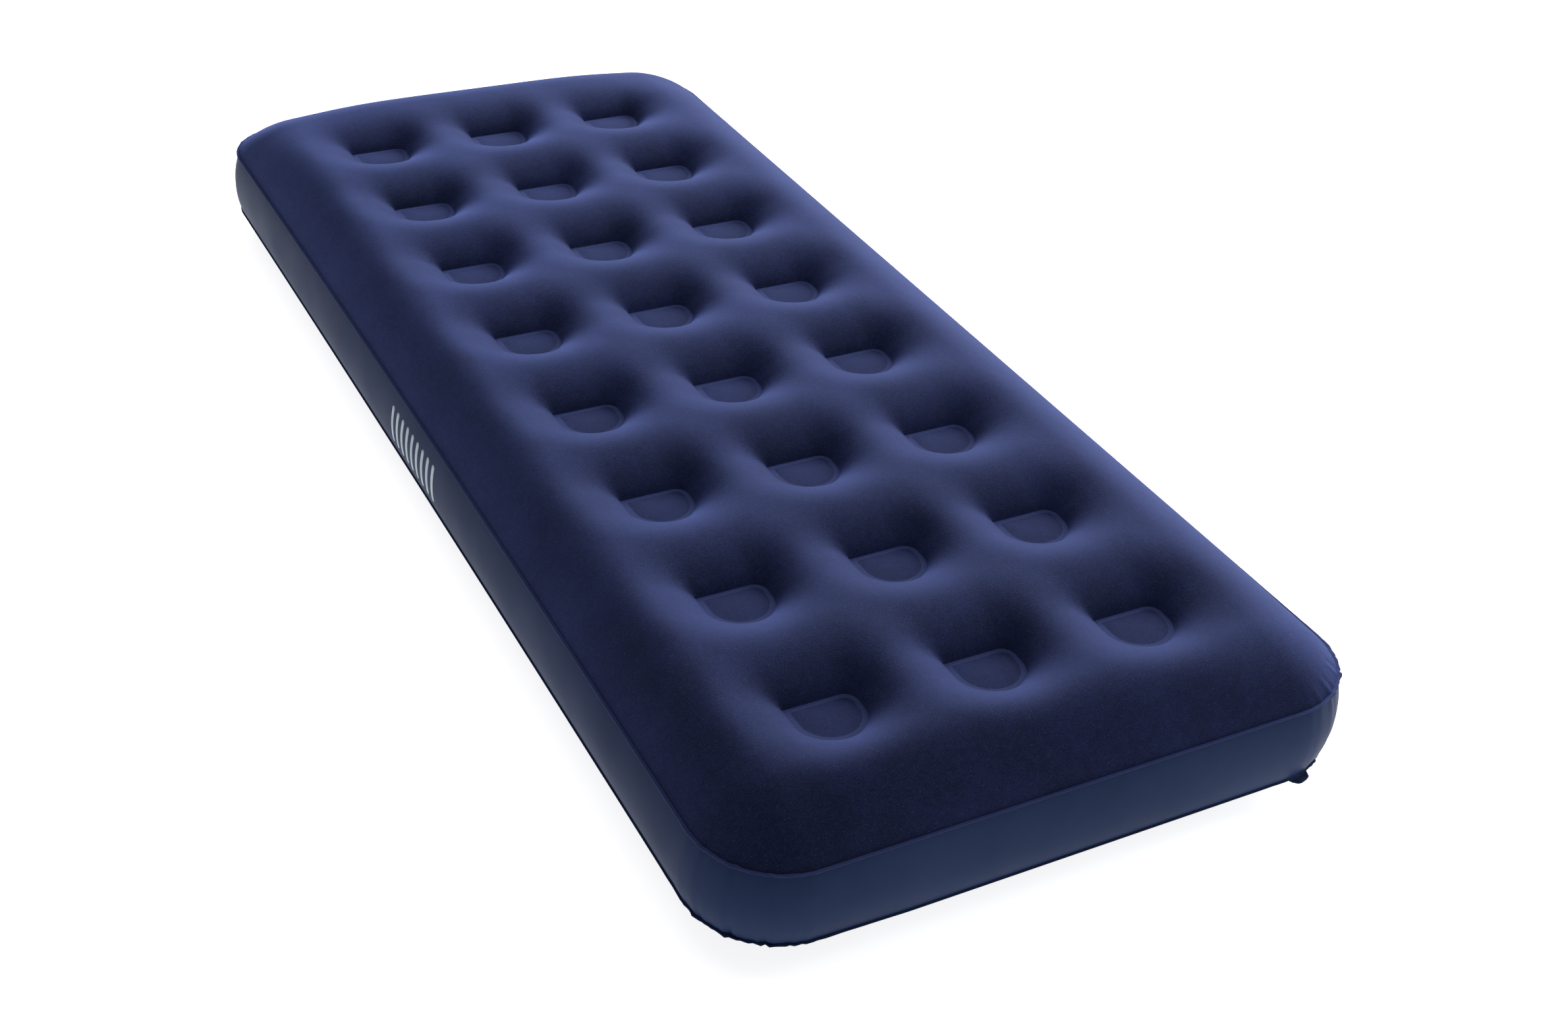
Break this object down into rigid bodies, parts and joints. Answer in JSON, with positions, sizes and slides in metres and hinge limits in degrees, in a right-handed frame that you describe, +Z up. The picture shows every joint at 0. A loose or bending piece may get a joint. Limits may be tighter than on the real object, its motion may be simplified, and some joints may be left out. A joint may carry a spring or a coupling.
{
  "type": "air mattress",
  "caption": "Single-size inflatable bed: flocked top with D-shaped dimples held down by inner coil beams, welded side wall, screw valve.",
  "frame": {"origin": "on the floor, under the middle of the whole object's box", "axes": "+Z up, +Y along the bed towards the head end that holds the valve, +X across the bed to the right of someone looking towards the head end"},
  "size_m": [0.794, 1.8572, 0.189],
  "materials": {
    "flocked_top": "velvet flock",
    "wall_film": "satin vinyl",
    "underside_film": "matt vinyl",
    "beam_film": "matt vinyl",
    "valve_plastic": "moulded satin",
    "strap_vinyl": "soft satin",
    "seal_rubber": "matt",
    "flap_silicone": "soft translucent"
  },
  "bodies": {
    "mattress": {"top_sheet": "flocked_top", "bottom_sheet": "underside_film", "side_wall": "wall_film", "valve_panel": "wall_film", "coil_beam_row1_col1": "beam_film", "coil_beam_row1_col2": "beam_film", "coil_beam_row1_col3": "beam_film", "coil_beam_row2_col1": "beam_film", "coil_beam_row2_col2": "beam_film", "coil_beam_row2_col3": "beam_film", "coil_beam_row3_col1": "beam_film", "coil_beam_row3_col2": "beam_film", "coil_beam_row3_col3": "beam_film", "coil_beam_row4_col1": "beam_film", "coil_beam_row4_col2": "beam_film", "coil_beam_row4_col3": "beam_film", "coil_beam_row5_col1": "beam_film", "coil_beam_row5_col2": "beam_film", "coil_beam_row5_col3": "beam_film", "coil_beam_row6_col1": "beam_film", "coil_beam_row6_col2": "beam_film", "coil_beam_row6_col3": "beam_film", "coil_beam_row7_col1": "beam_film", "coil_beam_row7_col2": "beam_film", "coil_beam_row7_col3": "beam_film", "coil_beam_row8_col1": "beam_film", "coil_beam_row8_col2": "beam_film", "coil_beam_row8_col3": "beam_film", "valve_base": "valve_plastic"},
    "gasket": {"insert_gasket": "seal_rubber"},
    "insert": {"valve_insert": "valve_plastic", "strap_stud": "valve_plastic", "flap_clip": "valve_plastic"},
    "flap": {"check_flap": "flap_silicone"},
    "strap": {"cap_strap": "strap_vinyl"},
    "cap": {"valve_cap": "valve_plastic", "cap_seal": "seal_rubber"}
  },
  "joints": [
    {"name": "insert_lift", "type": "slide", "parent": "mattress", "child": "gasket", "axis": [0, 1, 0], "range_m": [0, 0.008]},
    {"name": "insert_turn", "type": "hinge", "parent": "gasket", "child": "insert", "pos_m": [0.19, 0.9214, 0.0875], "axis": [0, 1, 0], "range_deg": [0, 360]},
    {"name": "flap_swing", "type": "hinge", "parent": "insert", "child": "flap", "pos_m": [0.19, 0.9051, 0.1], "axis": [-1, 0, 0], "range_deg": [0, 45], "stiffness_Nm_per_rad": 0.0006},
    {"name": "cap_lift", "type": "slide", "parent": "insert", "child": "strap", "axis": [0, 1, 0], "range_m": [0, 0.0045]},
    {"name": "cap_turn", "type": "hinge", "parent": "strap", "child": "cap", "pos_m": [0.19, 0.9214, 0.0875], "axis": [0, 1, 0], "range_deg": [0, 270]}
  ],
  "couplings": [
    {"joint": "insert_lift", "follows": "insert_turn", "m_per_rad": 0.0012732},
    {"joint": "cap_lift", "follows": "cap_turn", "m_per_rad": 0.0009549}
  ]
}
